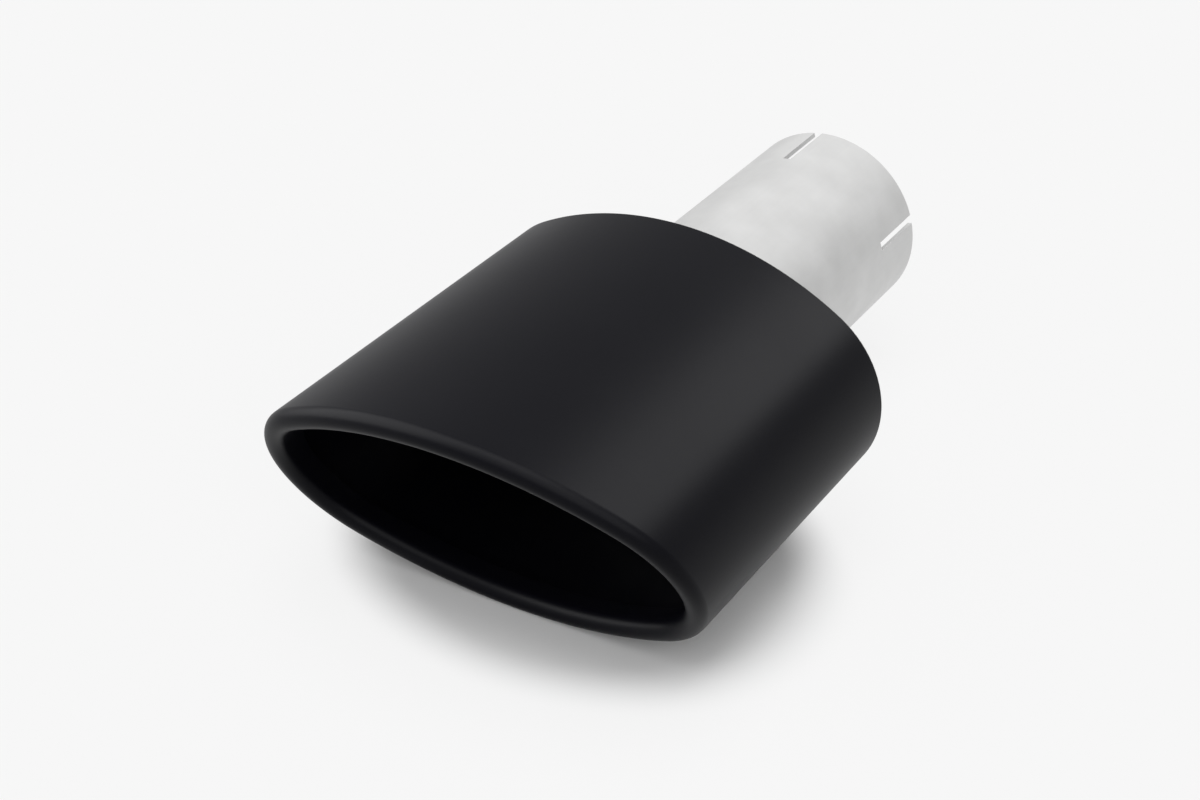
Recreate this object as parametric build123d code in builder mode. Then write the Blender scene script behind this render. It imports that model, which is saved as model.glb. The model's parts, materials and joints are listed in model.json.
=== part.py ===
"""Oval exhaust tailpipe: a black-coated oval shell with a rolled lip, welded to a slotted steel inlet tube.

Frame: millimetres, +Z up. The origin is the centre of the inlet tube's open end.
The axis of the tube and the shell is Y: the car's own pipe leaves along +Y, the outlet faces -Y.
"""
import math
import os

from build123d import *

# Inlet tube
tube_diameter = 60.0
tube_wall = 1.5
tube_projection = 91.0  # from the shell's rear edge to the open end
tube_stub = 6.0  # how far the tube reaches past the rear plate, into the shell
slot_length = 21.0
slot_width = 2.6
slot_angles = (17.0, 101.0)  # each saw cut goes right across, degrees from +X towards +Z

# Oval shell: four tangent arcs, bent from one sheet
shell_width = 128.0
shell_height = 80.0
end_radius = 31.0  # the tight arcs at the two narrow ends
shell_length = 104.0  # on the axis, from the rear edge to the plane of the mouth
shell_wall = 1.5
slash_angle = 25.0  # the mouth looks down by this much, so the top edge overhangs
skew_angle = 4.75  # and turns towards +X by this much

# Rolled lip: the sheet's front edge turns back into the mouth
lip_radius = 3.2  # outside of the roll
lip_land = 0.2  # flat left on the nose of the roll
lip_return = 9.0  # from the plane of the mouth back to the sheet's hidden edge

# Rear plate: a pressed pan set into the shell's rear end, with a collar round the tube
plate_wall = 1.5
plate_depth = 8.0  # how far the plate's face lies inside the rear edge
pressed_bend = 2.5  # inner radius of the pressed corners, where the plate has room for it
collar_height = 5.0  # from the plate's face
fit_clearance = 0.1  # between parts that slide together before welding

# Weld beads
rim_bead_height = 1.0
rim_bead_edge = 0.2  # the rim bead stays this far inside the two sheet edges
tube_bead_leg = 3.5  # along the tube

# Derived sizes
tube_radius = tube_diameter / 2
tube_bore = tube_radius - tube_wall
half_width = shell_width / 2
half_height = shell_height / 2
rise = half_height - end_radius
flat_radius = (half_width**2 + half_height**2 - 2 * half_width * end_radius) / (2 * rise)
joint_angle = math.degrees(math.atan2(flat_radius - half_height, half_width - end_radius))
mouth_inset = 2 * lip_radius + lip_land
hollow_radius = lip_radius - shell_wall
plate_inset = shell_wall + fit_clearance
plate_thick_inset = plate_inset + plate_wall
hole_radius = tube_radius + fit_clearance
collar_radius = hole_radius + plate_wall
bend_room = half_height - plate_thick_inset - collar_radius  # from the skirt to the collar, where they are nearest
plate_bend = min(pressed_bend, (bend_room - fit_clearance) / 2)
tube_length = tube_projection + plate_depth + plate_wall + tube_stub

# Reference planes, which all look towards the outlet
inlet_plane = Plane.XZ
rear_plane = inlet_plane.offset(tube_projection)
plate_plane = rear_plane.offset(plate_depth)
collar_plane = plate_plane.offset(-collar_height)
slash = math.tan(math.radians(slash_angle))
skew = math.tan(math.radians(skew_angle))
mouth_plane = Plane(
    origin=(0, -(tube_projection + shell_length), 0),
    x_dir=(1, skew, 0),
    z_dir=(skew, -1, -slash),
)
past_mouth = shell_length + half_width * skew + half_height * slash + lip_return


def oval(plane, inset):
    """Sketch of the shell's oval outline, moved inwards by inset."""
    with BuildSketch(plane) as outline:
        with BuildLine():
            for side, start in ((1, -joint_angle), (-1, 180 - joint_angle)):
                CenterArc((side * (half_width - end_radius), 0), end_radius - inset, start, 2 * joint_angle)
            for side, start in ((1, joint_angle), (-1, 180 + joint_angle)):
                centre = (0, side * (half_height - flat_radius))
                CenterArc(centre, flat_radius - inset, start, 180 - 2 * joint_angle)
        make_face()
    return outline.sketch


def rolled_ring(outer_inset, inner_inset, front_plane, radius):
    """Oval ring from the rear edge to a slanted front, with both its front edges rounded."""
    with BuildPart() as ring:
        extrude(oval(rear_plane, outer_inset), amount=past_mouth)
        extrude(oval(rear_plane, inner_inset), amount=past_mouth, mode=Mode.SUBTRACT)
        split(bisect_by=front_plane, keep=Keep.BOTTOM)
        fillet(ring.faces().sort_by(Axis.Y)[0].edges(), radius)
    return ring.part


# Oval shell: the outside of the rolled lip, less the space inside the roll and behind it
with BuildPart() as shell_inside:
    extrude(oval(rear_plane, shell_wall), amount=past_mouth)
    split(bisect_by=mouth_plane.offset(-lip_return), keep=Keep.BOTTOM)

roll_outside = rolled_ring(0, mouth_inset, mouth_plane, lip_radius)
roll_inside = rolled_ring(shell_wall, mouth_inset - shell_wall, mouth_plane.offset(-shell_wall), hollow_radius)

with BuildPart() as oval_shell:
    add(roll_outside)
    add(roll_inside, mode=Mode.SUBTRACT)
    add(shell_inside.part, mode=Mode.SUBTRACT)

# Rear plate: the pan's skirt lies inside the shell and ends level with its rear edge
with BuildPart() as rear_plate:
    extrude(oval(rear_plane, plate_inset), amount=plate_depth + plate_wall)
    fillet(rear_plate.faces().sort_by(Axis.Y)[0].edges(), plate_bend + plate_wall)
    extrude(oval(rear_plane, plate_thick_inset), amount=plate_depth, mode=Mode.SUBTRACT)
    fillet(rear_plate.faces().filter_by(Axis.Y).sort_by(Axis.Y)[1].edges(), plate_bend)
    with BuildSketch(collar_plane):
        Circle(collar_radius)
    extrude(amount=collar_height)
    plate_face = rear_plate.faces().filter_by(Axis.Y).sort_by(Axis.Y)[1]
    fillet(plate_face.inner_wires().edges(), plate_bend)
    with BuildSketch(collar_plane):
        Circle(hole_radius)
    extrude(amount=collar_height + plate_wall, mode=Mode.SUBTRACT)
    plate_back = rear_plate.faces().filter_by(Axis.Y).sort_by(Axis.Y)[0]
    fillet(plate_back.inner_wires().edges(), plate_bend)

# Inlet tube: sawn across twice, so that a clamp can close it on the car's own pipe
with BuildPart() as inlet_tube:
    with BuildSketch(inlet_plane):
        Circle(tube_radius)
        Circle(tube_bore, mode=Mode.SUBTRACT)
    extrude(amount=tube_length)
    for slot_angle in slot_angles:
        with BuildSketch(inlet_plane):
            Rectangle(tube_diameter + slot_width, slot_width, rotation=slot_angle)
        extrude(amount=slot_length, mode=Mode.SUBTRACT)

# Tube weld: a fillet bead in the corner between the collar's end and the tube
with BuildPart() as tube_weld:
    collar_end = collar_plane.origin.Y
    with BuildSketch(Plane.XY):
        with BuildLine():
            toe = (collar_radius, collar_end)
            root = (tube_radius, collar_end)
            top = (tube_radius, collar_end + tube_bead_leg)
            Polyline(toe, root, top)
            EllipticalCenterArc(root, collar_radius - tube_radius, tube_bead_leg, start_angle=0, arc_size=90)
        make_face()
    revolve(axis=Axis.Y)

# Rim weld: a low bead that joins the shell's rear edge to the plate's skirt
with BuildPart() as rim_weld:
    extrude(oval(rear_plane, rim_bead_edge), amount=-rim_bead_height)
    extrude(oval(rear_plane, plate_thick_inset - rim_bead_edge), amount=-rim_bead_height, mode=Mode.SUBTRACT)
    bead_crest = rim_weld.faces().sort_by(Axis.Y)[-1]
    fillet(bead_crest.edges(), rim_bead_height - rim_bead_edge)

os.makedirs("parts", exist_ok=True)
pieces = {
    "oval_shell": oval_shell,
    "rear_plate": rear_plate,
    "inlet_tube": inlet_tube,
    "tube_weld": tube_weld,
    "rim_weld": rim_weld,
}
for piece_name, piece in pieces.items():
    piece.part.label = piece_name
    export_step(piece.part, f"parts/{piece_name}.step")
    print(piece_name, round(piece.part.volume, 1), "mm3")
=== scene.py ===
# %% [markdown]
# # An oval exhaust tailpipe
#
# The object is a bolt-on tailpipe: a black-coated oval shell with a slanted, rolled-lip mouth, welded to
# a bare steel tube with saw cuts at its open end. The CAD model already holds its sizes, so this lesson
# doesn't change any of them. It makes finer meshes for the same five parts, gives them their finishes,
# and lights them softly.
#
# We start by loading the CAD model. It arrives as one object for each part, and it stays as a fixed
# frame: every piece made here goes where its CAD part already is.

# %% Load the CAD model
import json
import math

import bmesh
import bpy
from mathutils import Matrix, Vector


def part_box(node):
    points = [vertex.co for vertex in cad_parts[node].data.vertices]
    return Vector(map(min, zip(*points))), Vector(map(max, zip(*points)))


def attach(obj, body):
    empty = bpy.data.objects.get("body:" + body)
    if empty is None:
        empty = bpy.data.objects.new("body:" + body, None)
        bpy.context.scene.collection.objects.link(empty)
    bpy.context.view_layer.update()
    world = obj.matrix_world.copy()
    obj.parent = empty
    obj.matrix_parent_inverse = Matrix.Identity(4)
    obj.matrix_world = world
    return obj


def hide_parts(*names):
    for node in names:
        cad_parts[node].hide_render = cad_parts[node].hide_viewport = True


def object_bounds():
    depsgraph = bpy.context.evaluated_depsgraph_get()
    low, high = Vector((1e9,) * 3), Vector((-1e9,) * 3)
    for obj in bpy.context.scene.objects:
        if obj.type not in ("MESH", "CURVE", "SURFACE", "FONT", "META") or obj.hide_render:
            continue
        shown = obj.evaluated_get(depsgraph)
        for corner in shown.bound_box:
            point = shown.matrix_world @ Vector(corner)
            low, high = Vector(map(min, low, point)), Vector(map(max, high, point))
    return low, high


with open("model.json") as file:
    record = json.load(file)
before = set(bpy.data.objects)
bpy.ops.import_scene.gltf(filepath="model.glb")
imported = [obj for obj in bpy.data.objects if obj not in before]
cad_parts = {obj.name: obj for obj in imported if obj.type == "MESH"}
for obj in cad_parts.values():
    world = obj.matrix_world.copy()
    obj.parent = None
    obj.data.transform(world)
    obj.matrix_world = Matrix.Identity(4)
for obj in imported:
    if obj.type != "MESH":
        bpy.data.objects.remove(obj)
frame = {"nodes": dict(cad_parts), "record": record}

scene = bpy.context.scene
cad_low, cad_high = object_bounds()
print("CAD parts:", sorted(frame["nodes"]))
print("CAD size, mm:", [round(1000 * (high - low), 1) for low, high in zip(cad_low, cad_high)])

# %% [markdown]
# ## The camera
#
# The photograph looks down on the mouth from the front and the right. A camera's place can be found by
# eye, but straight edges and ellipses give it away exactly: these four values come from a fit of the
# tube's circle and the shell's oval to the picture. The camera stands upright and looks straight through
# the middle of the frame, so two angles turn it. It comes first because every later look at the work is
# through it.

# %% Set up the camera
camera_eye = Vector((0.23889, -0.50215, 0.30493))
camera_azimuth = math.radians(33.096)  # round the object, from the front towards +X
camera_elevation = math.radians(34.301)  # above the horizon
frame_width = 1200  # pixels
focal_length = 1932.9  # pixels

camera_data = bpy.data.cameras.new("photo_camera")
camera_data.sensor_fit = "HORIZONTAL"
camera_data.sensor_width = 36.0
camera_data.lens = focal_length * camera_data.sensor_width / frame_width
camera_data.clip_start = 0.01
camera = bpy.data.objects.new("photo_camera", camera_data)
camera.location = camera_eye
camera.rotation_euler = (math.pi / 2 - camera_elevation, 0, camera_azimuth)
scene.collection.objects.link(camera)
scene.camera = camera
print("lens, mm:", round(camera_data.lens, 2))

# %% [markdown]
# ## The oval
#
# The shell, the plate behind it and one of the welds all follow the same oval, so it is worth a helper.
# The oval is bent from four tangent arcs: two tight ones at the narrow ends and two flat ones above and
# below. Its width and height come from the CAD shell's box, and the flat arcs' radius follows from where
# they meet the tight ones.
#
# An ellipse would be quicker, but its curvature changes all the way round and the shell's doesn't.
# Instead one vertex is spun about the centre of each arc in turn, which leaves a ring of vertices in
# order.

# %% Work out the oval
shell_low, shell_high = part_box("oval_shell")
half_width = (shell_high[0] - shell_low[0]) / 2
half_height = (shell_high[2] - shell_low[2]) / 2
rear_edge = shell_high[1]
end_radius = 0.031

end_centre = half_width - end_radius
rise = half_height - end_radius
flat_radius = (half_width**2 + half_height**2 - 2 * half_width * end_radius) / (2 * rise)
flat_centre = flat_radius - half_height
joint_angle = math.atan2(flat_centre, end_centre)
print("flat arcs, mm:", round(1000 * flat_radius, 1))
print("joints at, degrees:", round(math.degrees(joint_angle), 2))

# %% Helpers for rings of vertices
end_steps = 44
flat_steps = 60
seam_gap = 0.00003  # ends of a spin that are nearer than this are one vertex
sharp_corner = math.radians(60)  # more than a bend in sheet metal shows between two faces
crease = math.radians(35)  # edges that turn more than this are shaded as edges


def spin_oval(bm, inset, station, fineness=1):
    """Spins one vertex through the four arcs of the oval, and returns the closed ring in order."""
    reach = end_radius - inset
    corner = (end_centre + reach * math.cos(joint_angle), station, -reach * math.sin(joint_angle))
    tip = bm.verts.new(corner)
    end_turn = 2 * joint_angle
    flat_turn = math.pi - end_turn
    for side in (1, -1):
        arcs = (
            ((side * end_centre, station, 0), end_turn, end_steps * fineness),
            ((0, station, -side * flat_centre), flat_turn, flat_steps * fineness),
        )
        for centre, turn, steps in arcs:
            spun = bmesh.ops.spin(bm, geom=[tip], cent=centre, axis=(0, -1, 0), angle=turn, steps=steps)
            tip = next(part for part in spun["geom_last"] if isinstance(part, bmesh.types.BMVert))
    bmesh.ops.remove_doubles(bm, verts=bm.verts, dist=seam_gap)
    return list(bm.verts)


def oval_normal(point):
    """The direction straight out of the oval at a point on it."""
    side = math.copysign(1, point.x)
    from_end = Vector((point.x - side * end_centre, 0, point.z))
    if abs(math.atan2(from_end.z, side * from_end.x)) <= joint_angle:
        return from_end.normalized()
    return Vector((point.x, 0, point.z + math.copysign(flat_centre, point.z))).normalized()


def ring_edges(bm, ring):
    """The edges of a closed ring of vertices."""
    return [bm.edges.get(pair) for pair in zip(ring, ring[1:] + ring[:1])]


def extrude_ring(bm, ring):
    """Extrudes a closed ring of vertices, and returns the new ring in the same order."""
    extruded = bmesh.ops.extrude_edge_only(bm, edges=ring_edges(bm, ring))
    new = {part for part in extruded["geom"] if isinstance(part, bmesh.types.BMVert)}
    return [next(v for v in (e.other_vert(old) for e in old.link_edges) if v in new) for old in ring]


def soften_edges(bm, radius):
    """Bevels every edge that is sharper than a bend in sheet metal."""
    sharp = [edge for edge in bm.edges if edge.calc_face_angle(0) > sharp_corner]
    bmesh.ops.bevel(
        bm,
        geom=sharp,
        offset=radius,
        offset_type="OFFSET",
        segments=2,
        profile=0.5,
        affect="EDGES",
        clamp_overlap=True,
        material=-1,
    )


def finish_piece(bm, name, node, materials):
    """Makes the object that stands in for one CAD part, hides that part, and hangs the object from the
    root body.
    """
    mesh = bpy.data.meshes.new(name)
    bm.to_mesh(mesh)
    open_edges = sum(not edge.is_manifold for edge in bm.edges)
    volume = bm.calc_volume(signed=True)
    bm.free()
    mesh.shade_smooth()
    mesh.set_sharp_from_angle(angle=crease)
    for material in materials:
        mesh.materials.append(material)
    piece = bpy.data.objects.new(name, mesh)
    scene.collection.objects.link(piece)
    shading = piece.modifiers.new("even_shading", "WEIGHTED_NORMAL")  # wide faces stay flat beside bevels
    shading.keep_sharp = True
    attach(piece, "root")
    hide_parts(node)
    print(name, "faces:", len(mesh.polygons), "open edges:", open_edges, "cm3:", round(1e6 * volume, 2))
    return piece


print("vertices in a ring:", 2 * (end_steps + flat_steps))

# %% [markdown]
# ## The satin black coat
#
# The shell has a smooth, heat-resistant coat with a satin sheen: almost black where it faces dark
# surroundings, with one broad, soft band of light. So the colour is close to black, and nearly all that
# shows is the reflection. A sprayed coat is never quite even. A fine bump gives it the faint texture of a
# sprayed film, and a slow change of roughness makes the sheen a little cloudy. The amounts that are the
# same everywhere go on the shader itself.

# %% Helper for material nodes


def add_node(tree, kind, inputs=(), **settings):
    """Adds a node, sets its properties, and fills or links its inputs."""
    node = tree.nodes.new(kind)
    for name, value in settings.items():
        setattr(node, name, value)
    for name, value in dict(inputs).items():
        if isinstance(value, bpy.types.NodeSocket):
            tree.links.new(value, node.inputs[name])
        else:
            node.inputs[name].default_value = value
    return node


# %% Mix the satin black coat
coat_sheen = 0.08
coat_dark = (0.0010, 0.0010, 0.0022, 1)
coat_light = (0.0018, 0.0018, 0.0030, 1)
peel_size = 0.0009
film_grain = 0.00025
cloud_size = 0.030


def make_satin_coat():
    """Near-black coat with a soft sheen and the faint texture of a sprayed film."""
    material = bpy.data.materials.new("satin_black_coat")
    material.use_nodes = True
    tree = material.node_tree
    shader = tree.nodes["Principled BSDF"]
    shader.inputs["Specular IOR Level"].default_value = coat_sheen
    place = add_node(tree, "ShaderNodeTexCoord").outputs["Object"]
    clouds = add_node(
        tree, "ShaderNodeTexNoise", {"Vector": place, "Scale": 1 / cloud_size, "Detail": 3.0}
    ).outputs["Fac"]
    peel = add_node(
        tree, "ShaderNodeTexNoise", {"Vector": place, "Scale": 1 / peel_size, "Detail": 1.0}
    ).outputs["Fac"]
    grain = add_node(
        tree, "ShaderNodeTexNoise", {"Vector": place, "Scale": 1 / film_grain, "Detail": 2.0}
    ).outputs["Fac"]
    tone = add_node(tree, "ShaderNodeMix", {"Factor": clouds}, data_type="RGBA")
    tone.inputs["A"].default_value = coat_dark
    tone.inputs["B"].default_value = coat_light
    tree.links.new(tone.outputs["Result"], shader.inputs["Base Color"])
    sheen = add_node(tree, "ShaderNodeMapRange", {"Value": clouds, "To Min": 0.37, "To Max": 0.42})
    tree.links.new(sheen.outputs["Result"], shader.inputs["Roughness"])
    film = add_node(
        tree, "ShaderNodeBump", {"Height": grain, "Strength": 0.10, "Distance": 0.00003}
    ).outputs["Normal"]
    skin = add_node(
        tree, "ShaderNodeBump", {"Height": peel, "Strength": 0.15, "Distance": 0.00005, "Normal": film}
    ).outputs["Normal"]
    tree.links.new(skin, shader.inputs["Normal"])
    return material


satin_coat = make_satin_coat()
print("material:", satin_coat.name)

# %% [markdown]
# ## The coated shell
#
# The real shell is one sheet, bent to the oval and cut on a slant, with its front edge rolled back into
# the mouth. We make it the same way: the oval ring at the rear edge is extruded forward, and then
# extruded again and again round the roll.
#
# A bevel on the slanted front edge would be simpler, but the angle between the wall and the mouth changes
# from about 65 to 115 degrees round the oval, and a bevel would get wider and narrower with it. The real
# roll has the same radius all the way round. So each ring of the roll is placed on a circle that touches
# both the wall and the plane of the mouth. A last extrusion runs straight back to the sheet's hidden
# edge, and Solidify gives the sheet its thickness.

# %% Roll the shell
shell_length = 0.104  # on the axis, from the rear edge to the plane of the mouth
sheet = 0.0015
slash = math.tan(math.radians(25.0))  # the mouth looks down
skew = math.tan(math.radians(4.75))  # and turns a little towards +X
lip_radius = 0.0032
lip_return = 0.009
lip_steps = 20
wall_steps = 6
sheet_edge = 0.0003  # rounding of the sheet's cut edges
steepness = math.sqrt(1 + slash**2 + skew**2)


def mouth_plane(point):
    """Where the plane of the mouth lies, along the axis, in line with a point."""
    return rear_edge - shell_length + skew * point.x - slash * point.z


def roll_point(wall, outward, turn):
    """A point on the rolled lip, turned from the wall (0) over the nose to the inside (pi)."""
    centre = wall - lip_radius * outward
    centre.y = mouth_plane(centre) + lip_radius * steepness
    along = Vector((-outward.z, 0, outward.x))
    along.y = skew * along.x - slash * along.z
    ahead = outward.cross(along.normalized())
    return centre + lip_radius * (math.cos(turn) * outward + math.sin(turn) * ahead)


bm = bmesh.new()
wall = spin_oval(bm, 0, rear_edge)
outward = [oval_normal(v.co) for v in wall]
seat = [v.co.copy() for v in wall]
roll_start = [roll_point(point, out, 0) for point, out in zip(seat, outward)]
ring = wall
for step in range(1, wall_steps + 1):
    ring = extrude_ring(bm, ring)
    for v, back, front in zip(ring, seat, roll_start):
        v.co = back.lerp(front, step / wall_steps)
for step in range(1, lip_steps + 1):
    ring = extrude_ring(bm, ring)
    for v, point, out in zip(ring, seat, outward):
        v.co = roll_point(point, out, math.pi * step / lip_steps)
ring = extrude_ring(bm, ring)
for v in ring:
    v.co.y = mouth_plane(v.co) + lip_return * steepness
print("rings:", wall_steps + lip_steps + 2, "vertices in each:", len(ring))

# %% Give the shell its thickness
bmesh.ops.recalc_face_normals(bm, faces=bm.faces)
outer = max(bm.faces, key=lambda face: face.calc_center_median().z)
if outer.normal.z < 0:
    bmesh.ops.reverse_faces(bm, faces=bm.faces)
bmesh.ops.solidify(bm, geom=bm.faces[:], thickness=sheet)
soften_edges(bm, sheet_edge)
coated_shell = finish_piece(bm, "coated_shell", "oval_shell", [satin_coat])

# %% [markdown]
# ## The bare steel
#
# The tube is plain stainless steel with a matt, blasted surface. It is a metal, so its colour is all in
# the reflection, and the roughness is high enough that nothing in it has an edge. Three things keep it
# from looking like grey paint: a very fine grain from the blasting, faint lines along the tube from
# drawing it, and soft clouds where the surface is a little more or less open.

# %% Make the blasted steel
steel_dark = (0.59, 0.59, 0.587, 1)
steel_light = (0.69, 0.69, 0.687, 1)
blast_grain = 0.00022
draw_line = 0.0012
line_squeeze = (1.0, 0.02, 1.0)  # the noise that makes the lines is drawn out along Y
line_share = 0.25  # of the colour's changes, beside the clouds
cloud_spread = 0.014


def make_blasted_steel():
    """Matt stainless steel with a fine grain, faint lines along Y and soft clouds."""
    material = bpy.data.materials.new("blasted_steel")
    material.use_nodes = True
    tree = material.node_tree
    shader = tree.nodes["Principled BSDF"]
    shader.inputs["Metallic"].default_value = 1.0
    place = add_node(tree, "ShaderNodeTexCoord").outputs["Object"]
    drawn = add_node(tree, "ShaderNodeMapping", {"Vector": place, "Scale": line_squeeze}).outputs["Vector"]
    lines = add_node(
        tree, "ShaderNodeTexNoise", {"Vector": drawn, "Scale": 1 / draw_line, "Detail": 3.0}
    ).outputs["Fac"]
    clouds = add_node(
        tree, "ShaderNodeTexNoise", {"Vector": place, "Scale": 1 / cloud_spread, "Detail": 4.0}
    ).outputs["Fac"]
    grain = add_node(
        tree, "ShaderNodeTexNoise", {"Vector": place, "Scale": 1 / blast_grain, "Detail": 2.0}
    ).outputs["Fac"]
    patches = add_node(
        tree, "ShaderNodeMapRange", {"Value": clouds, "From Min": 0.3, "From Max": 0.7}
    ).outputs["Result"]
    marks = add_node(
        tree, "ShaderNodeMix", {"Factor": line_share, "A": patches, "B": lines}, data_type="FLOAT"
    ).outputs["Result"]
    tone = add_node(tree, "ShaderNodeMix", {"Factor": marks}, data_type="RGBA")
    tone.inputs["A"].default_value = steel_dark
    tone.inputs["B"].default_value = steel_light
    tree.links.new(tone.outputs["Result"], shader.inputs["Base Color"])
    matt = add_node(tree, "ShaderNodeMapRange", {"Value": clouds, "To Min": 0.52, "To Max": 0.62})
    tree.links.new(matt.outputs["Result"], shader.inputs["Roughness"])
    blast = add_node(
        tree, "ShaderNodeBump", {"Height": grain, "Strength": 0.25, "Distance": 0.00004}
    ).outputs["Normal"]
    drawing = add_node(
        tree, "ShaderNodeBump", {"Height": lines, "Strength": 0.03, "Distance": 0.00005, "Normal": blast}
    ).outputs["Normal"]
    tree.links.new(drawing, shader.inputs["Normal"])
    return material


blasted_steel = make_blasted_steel()
print("material:", blasted_steel.name)

# %% [markdown]
# ## The slotted tube
#
# The tube is sawn across twice at its open end, which leaves four narrow slots, so that a band clamp can
# close it on the car's own pipe. Booleans could cut the slots, but they leave untidy faces. Here the
# plain, thin tube is bisected along both sides of each saw cut and across its end, the faces between are
# deleted, and Solidify then gives the wall its thickness, so the slots' sides come out clean.
#
# The coat is sprayed on after welding, with the tube masked. It reaches a few millimetres up the tube
# past the weld, so the tube gets a ring of vertices at that line, and the faces before it get the coat.

# %% Saw the tube
tube_low, tube_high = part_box("inlet_tube")
bore = next(mount for mount in frame["record"]["mounts"] if mount["name"] == "inlet_bore")
tube_radius = (tube_high[0] - tube_low[0]) / 2
tube_wall = tube_radius - bore["dims"]["r_mm"] / 1000
open_end = tube_high[1]
inner_end = tube_low[1]
slot_length = 0.021
slot_width = 0.0026
slot_angles = (17.0, 101.0)  # degrees from +X towards +Z
mask_reach = 0.004
mask_line = rear_edge + mask_reach
tube_steps = 180
saw_edge = 0.0002  # rounding of the sawn edges

bm = bmesh.new()
upright = Matrix.Translation((0, open_end, 0)) @ Matrix.Rotation(math.pi / 2, 4, "X")
bmesh.ops.create_circle(bm, cap_ends=False, radius=tube_radius, segments=tube_steps, matrix=upright)
ring = list(bm.verts)
for station in (mask_line, inner_end):
    ring = extrude_ring(bm, ring)
    for v in ring:
        v.co.y = station
saw_ways = [Vector((-math.sin(a), 0, math.cos(a))) for a in map(math.radians, slot_angles)]
slot_end = Vector((0, open_end - slot_length, 0))
cuts = [(side * slot_width / 2 * way, way) for way in saw_ways for side in (1, -1)]
cuts.append((slot_end, Vector((0, 1, 0))))
for point, way in cuts:
    bmesh.ops.bisect_plane(bm, geom=bm.verts[:] + bm.edges[:] + bm.faces[:], plane_co=point, plane_no=way)
for v in bm.verts:
    out = Vector((v.co.x, 0, v.co.z)).normalized()
    v.co = (tube_radius * out.x, v.co.y, tube_radius * out.z)
sawn = []
for face in bm.faces:
    middle = face.calc_center_median()
    between = any(abs(middle.dot(way)) < slot_width / 2 for way in saw_ways)
    if between and middle.y > slot_end.y:
        sawn.append(face)
bmesh.ops.delete(bm, geom=sawn, context="FACES")
print("faces sawn away:", len(sawn))

# %% Give the tube its wall
bmesh.ops.recalc_face_normals(bm, faces=bm.faces)
outer = max(bm.faces, key=lambda face: face.calc_center_median().z)
if outer.normal.z < 0:
    bmesh.ops.reverse_faces(bm, faces=bm.faces)
bmesh.ops.solidify(bm, geom=bm.faces[:], thickness=tube_wall)
soften_edges(bm, saw_edge)
bm.normal_update()
for face in bm.faces:
    middle = face.calc_center_median()
    outside = middle.x * face.normal.x + middle.z * face.normal.z > 0
    face.material_index = int(outside and middle.y < mask_line)
steel_tube = finish_piece(bm, "steel_tube", "inlet_tube", [blasted_steel, satin_coat])

# %% [markdown]
# ## The pressed rear plate
#
# The plate closes the shell's rear end and carries the tube. It is pressed from sheet: a skirt that lies
# against the inside of the shell, a flat face, and a collar that stands up round the tube. Sheet can't be
# pressed to a sharp corner, so a rounded bend leads from each to the next.
#
# The skirt is oval and the collar is round, so Bridge Loops could join them, with bevels for the two
# bends. But above and below the tube the bends almost meet, and bevels would run into each other there.
# Instead one ring is extruded all the way, from the skirt round the first bend, over the flat face, and
# round the second bend to the collar. Solidify then thickens the sheet away from the side that shows.

# %% Press the rear plate
plate_low, plate_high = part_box("rear_plate")
plate_inset = half_width - plate_high[0]
skirt_inset = plate_inset + sheet
plate_face = plate_low[1] + sheet
collar_height = 0.005
fit_clearance = 0.0001  # between the tube and the collar
collar_radius = tube_radius + fit_clearance + sheet
press_bend = 0.0025
bend_steps = 8
plate_edge = 0.0002  # rounding of the plate's cut edges
flat_spots = (0.08, 0.92)  # rings near the flat face's edges, which keep its shading flat

bm = bmesh.new()
ring = spin_oval(bm, skirt_inset, rear_edge)
seat = [v.co.copy() for v in ring]
outward = [oval_normal(point) for point in seat]
from_axis = [Vector((point.x, 0, point.z)).normalized() for point in seat]
bend_foot = [point - press_bend * out for point, out in zip(seat, outward)]
collar_foot = [(collar_radius + press_bend) * out for out in from_axis]


def press_ring(bm, ring, places, station):
    """Extrudes a ring to new places at one station along the axis, and returns the new ring."""
    ring = extrude_ring(bm, ring)
    for v, place in zip(ring, places):
        v.co = (place.x, station, place.z)
    return ring


for step in range(bend_steps + 1):
    bend = math.pi / 2 * step / bend_steps
    rim = [foot + press_bend * math.cos(bend) * out for foot, out in zip(bend_foot, outward)]
    ring = press_ring(bm, ring, rim, plate_face + press_bend * (1 - math.sin(bend)))
for spot in flat_spots:
    flat = [skirt.lerp(collar, spot) for skirt, collar in zip(bend_foot, collar_foot)]
    ring = press_ring(bm, ring, flat, plate_face)
for step in range(bend_steps + 1):
    bend = math.pi / 2 * step / bend_steps
    rim = [foot - press_bend * math.sin(bend) * out for foot, out in zip(collar_foot, from_axis)]
    ring = press_ring(bm, ring, rim, plate_face + press_bend * (1 - math.cos(bend)))
ring = press_ring(bm, ring, [collar_radius * out for out in from_axis], plate_face + collar_height)
bmesh.ops.recalc_face_normals(bm, faces=bm.faces)
flat_face = min(bm.faces, key=lambda face: face.calc_center_median().y)
if flat_face.normal.y < 0:
    bmesh.ops.reverse_faces(bm, faces=bm.faces)
bmesh.ops.solidify(bm, geom=bm.faces[:], thickness=sheet)
soften_edges(bm, plate_edge)
pressed_plate = finish_piece(bm, "pressed_plate", "rear_plate", [satin_coat])

# %% [markdown]
# ## The weld beads
#
# Two beads hold the tailpipe together: one joins the tube to the collar, and one runs round the rear
# edge, over the gap between the shell and the plate's skirt. A weld is laid down drop by drop, so its top
# shows a row of small crescents, each overlapping the one before. Their pitch is a couple of millimetres.
# A bump could draw them, but they are on a rounded ridge where their outline shows, so the vertices
# themselves are moved.

# %% Lay the bead round the tube
ripple_pitch = 0.0022
ripple_height = 0.00016
ripple_bow = 0.35  # how far a crescent's ends trail behind its middle, in pitches
ripple_mean = 0.67  # of the square root below, so that the bead keeps its size


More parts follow.
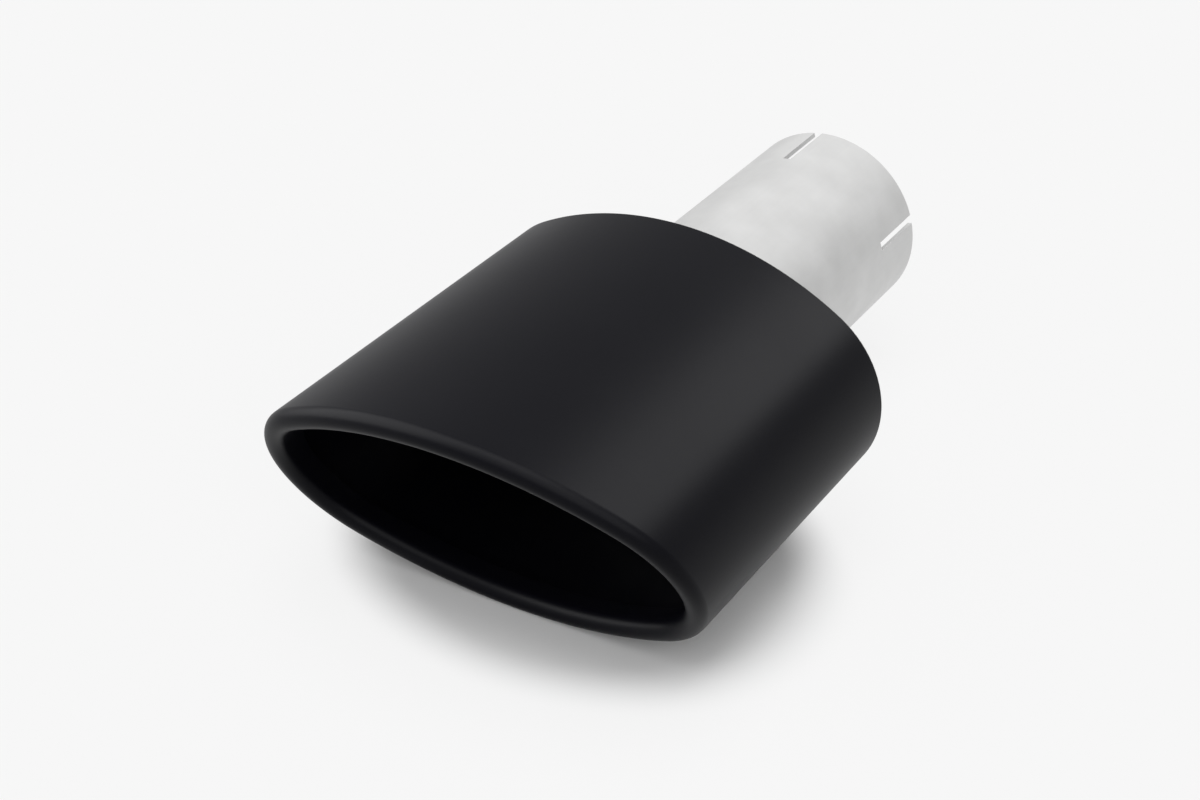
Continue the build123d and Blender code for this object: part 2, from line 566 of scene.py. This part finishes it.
def ripple(travel, across):
    """Height of the crescents after some travel along the bead; across runs from -1 to 1."""
    phase = (travel / ripple_pitch + ripple_bow * across**2) % 1
    return ripple_height * (1 - across**2) * (math.sqrt(phase) - ripple_mean)


bead_low, bead_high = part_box("tube_weld")
bead_leg = bead_high[1] - bead_low[1]
bead_foot = bead_high[0] - tube_radius
bead_arcs = 8
bead_turns = 720
on_seat = 0.00001  # vertices nearer than this to the tube or the collar stay there

bm = bmesh.new()
root = bm.verts.new((tube_radius, bead_low[1], 0))
profile = [root]
for step in range(bead_arcs + 1):
    slope = math.pi / 2 * step / bead_arcs
    spot = Vector((tube_radius + bead_foot * math.cos(slope), bead_low[1] + bead_leg * math.sin(slope), 0))
    profile.append(bm.verts.new(spot))
section = [bm.edges.new(pair) for pair in zip(profile, profile[1:] + profile[:1])]
bmesh.ops.spin(
    bm,
    geom=profile + section,
    cent=(0, 0, 0),
    axis=(0, -1, 0),
    angle=2 * math.pi,
    steps=bead_turns,
    use_merge=True,
)
bmesh.ops.remove_doubles(bm, verts=bm.verts, dist=seam_gap)
bmesh.ops.recalc_face_normals(bm, faces=bm.faces)
for v in bm.verts:
    reach = Vector((v.co.x, 0, v.co.z))
    from_tube = reach.length - tube_radius
    from_collar = v.co.y - bead_low[1]
    if from_tube > on_seat and from_collar > on_seat:
        over = math.atan2(from_collar / bead_leg, from_tube / bead_foot)
        height = ripple(tube_radius * math.atan2(v.co.z, v.co.x), over / (math.pi / 4) - 1)
        v.co += height * (reach.normalized() * math.cos(over) + Vector((0, math.sin(over), 0)))
bead_round_tube = finish_piece(bm, "bead_round_tube", "tube_weld", [satin_coat])

# %% Lay the bead round the rim
rim_low, rim_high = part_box("rim_weld")
rim_height = rim_high[1] - rim_low[1]
rim_start = half_width - rim_high[0]
rim_width = skirt_inset - 2 * rim_start
rim_arcs = 8
rim_fineness = 6

bm = bmesh.new()
first = spin_oval(bm, rim_start, rear_edge, rim_fineness)
outward = [oval_normal(v.co) for v in first]
seat = [v.co.copy() for v in first]
travel = [0.0]
for here, after in zip(seat, seat[1:]):
    travel.append(travel[-1] + (after - here).length)
ring = first
for step in range(1, rim_arcs + 1):
    ring = extrude_ring(bm, ring)
    across = 2 * step / rim_arcs - 1
    crown = math.sqrt(max(0, 1 - across**2))
    inward = rim_width * step / rim_arcs
    for v, point, out, way in zip(ring, seat, outward, travel):
        v.co = point - inward * out
        v.co.y = rear_edge + rim_height * crown + ripple(way, across)
bmesh.ops.bridge_loops(bm, edges=ring_edges(bm, first) + ring_edges(bm, ring))
bmesh.ops.recalc_face_normals(bm, faces=bm.faces)
bead_round_rim = finish_piece(bm, "bead_round_rim", "rim_weld", [satin_coat])

# %% [markdown]
# ## Floor and light
#
# The photograph is a plain studio picture: a pale floor fills the frame, and a soft shadow lies close
# round the object. The floor's paleness is its own colour. A dome of weak light and three wide lamps
# light it, so that it shows that colour about as it is written. The lamp overhead makes the dark shadow
# under the mouth, and the two in front keep it short.
#
# In the picture the shadow ends sooner than any of these lamps would end it, as if the floor had been
# whitened afterwards. So outside an oval round the shell, the floor's paint turns into a plain glow of
# the same colour. The glow is there only where the floor is seen, directly or in a reflection, and it
# isn't used as a lamp.
#
# A black coat shows little but reflections, so where it is dark or bright depends on what stands round
# it. The dome is therefore paler where it is seen, directly or in a reflection, than where it only lights
# the floor, and it darkens a little towards the horizon. Two more lamps light only the coated pieces. One
# stands behind and draws the soft band along the shell's shoulder, and one to the left picks out the
# rolled lip.
#
# Bare steel mirrors the whole dome, and the lamps overhead and at the front right would turn it plain
# white. They leave it out, and a weak, very wide lamp behind it does their work.

# %% Lay the floor
floor_radius = 12.0
floor_steps = 96

bm = bmesh.new()
floor_place = Matrix.Translation((0, (cad_low[1] + cad_high[1]) / 2, cad_low[2]))
bmesh.ops.create_circle(bm, cap_ends=True, radius=floor_radius, segments=floor_steps, matrix=floor_place)
floor_mesh = bpy.data.meshes.new("studio_floor")
bm.to_mesh(floor_mesh)
bm.free()
studio_floor = bpy.data.objects.new("studio_floor", floor_mesh)
scene.collection.objects.link(studio_floor)
print("floor at, mm:", round(1000 * cad_low[2], 2))

# %% Paint the floor
floor_tint = (0.93, 0.93, 0.93, 1)
shadow_middle = (-0.001, -0.143, cad_low[2])
shadow_reach = (0.083, 0.065, 1)  # half the width and depth of the shadow that the photograph keeps
fade_start = 0.7  # of that reach
whitening = 0.9  # how much of the shadow farther out is painted over


def seen_rays(tree):
    """1 for what is seen, directly, in a reflection or through glass, and 0 for what only gives light."""
    rays = add_node(tree, "ShaderNodeLightPath").outputs
    seen = rays["Is Camera Ray"]
    for kind in ("Is Glossy Ray", "Is Transmission Ray"):
        either = add_node(tree, "ShaderNodeMath", {0: seen, 1: rays[kind]}, operation="MAXIMUM")
        seen = either.outputs["Value"]
    return seen


floor_paint = bpy.data.materials.new("pale_floor")
floor_paint.use_nodes = True
floor_paint.cycles.emission_sampling = "NONE"  # the glow is no lamp
floor_tree = floor_paint.node_tree
paint = floor_tree.nodes["Principled BSDF"]
paint.inputs["Base Color"].default_value = floor_tint
paint.inputs["Roughness"].default_value = 1.0
paint.inputs["Specular IOR Level"].default_value = 0.0
place = add_node(floor_tree, "ShaderNodeTexCoord").outputs["Object"]
from_middle = add_node(
    floor_tree,
    "ShaderNodeMapping",
    {"Vector": place, "Location": shadow_middle, "Scale": shadow_reach},
    vector_type="TEXTURE",
).outputs["Vector"]
distance = add_node(floor_tree, "ShaderNodeVectorMath", {0: from_middle}, operation="LENGTH")
fade = add_node(
    floor_tree,
    "ShaderNodeMapRange",
    {"Value": distance.outputs["Value"], "From Min": fade_start, "From Max": 1.0, "To Max": whitening},
    interpolation_type="SMOOTHSTEP",
).outputs["Result"]
cover = add_node(floor_tree, "ShaderNodeMath", {0: fade, 1: seen_rays(floor_tree)}, operation="MULTIPLY")
glow = add_node(floor_tree, "ShaderNodeEmission", {"Color": floor_tint})
mixed = add_node(
    floor_tree,
    "ShaderNodeMixShader",
    {0: cover.outputs["Value"], 1: paint.outputs["BSDF"], 2: glow.outputs["Emission"]},
)
floor_tree.links.new(mixed.outputs["Shader"], floor_tree.nodes["Material Output"].inputs["Surface"])
floor_mesh.materials.append(floor_paint)
print("material:", floor_paint.name)

# %% Set the light
scene.view_settings.view_transform = "Standard"
scene.cycles.use_light_tree = False  # with it, lamps that light only some pieces vary between runs
pale = 0.80
pale_height = 0.6  # sine of the elevation at which the dome is fully pale
horizon = 0.50
fill = 0.14

dome = bpy.data.worlds.new("soft_studio")
scene.world = dome
dome.use_nodes = True
dome_tree = dome.node_tree
way = add_node(dome_tree, "ShaderNodeTexCoord").outputs["Generated"]
height = add_node(dome_tree, "ShaderNodeSeparateXYZ", {"Vector": way}).outputs["Z"]
shade = add_node(
    dome_tree,
    "ShaderNodeMapRange",
    {"Value": height, "From Max": pale_height, "To Min": horizon, "To Max": pale},
).outputs["Result"]
level = add_node(
    dome_tree, "ShaderNodeMapRange", {"Value": seen_rays(dome_tree), "To Min": fill, "To Max": shade}
)
sky = dome_tree.nodes["Background"]
sky.inputs["Color"].default_value = (1, 1, 1, 1)
dome_tree.links.new(level.outputs["Result"], sky.inputs["Strength"])


def add_soft_sun(name, azimuth, elevation, spread, power):
    """A far light as wide as spread; azimuth runs from the front towards +X, all in degrees."""
    lamp = bpy.data.lights.new(name, "SUN")
    lamp.angle = math.radians(spread)
    lamp.energy = power
    sun = bpy.data.objects.new(name, lamp)
    sun.rotation_euler = (math.pi / 2 - math.radians(elevation), 0, math.radians(azimuth))
    scene.collection.objects.link(sun)
    return sun


overhead = add_soft_sun("overhead", 0, 88, 40, 1.32)
front_right = add_soft_sun("front_right", 45, 45, 60, 1.48)
front_left = add_soft_sun("front_left", -40, 45, 60, 0.5)
ridge_light = add_soft_sun("ridge_light", 155, 42, 34, 1.35)
lip_light = add_soft_sun("lip_light", -70, 36, 72, 4.0)
side_light = add_soft_sun("side_light", -170, 45, 100, 0.95)
coated = [coated_shell, pressed_plate, bead_round_tube, bead_round_rim]
for name, pieces, suns in (
    ("coated_and_floor", coated + [studio_floor], (overhead, front_right)),
    ("coated", coated, (ridge_light, lip_light)),
    ("steel", [steel_tube], (side_light,)),
):
    lit = bpy.data.collections.new(name)
    for piece in pieces:
        lit.objects.link(piece)
    for sun in suns:
        sun.light_linking.receiver_collection = lit
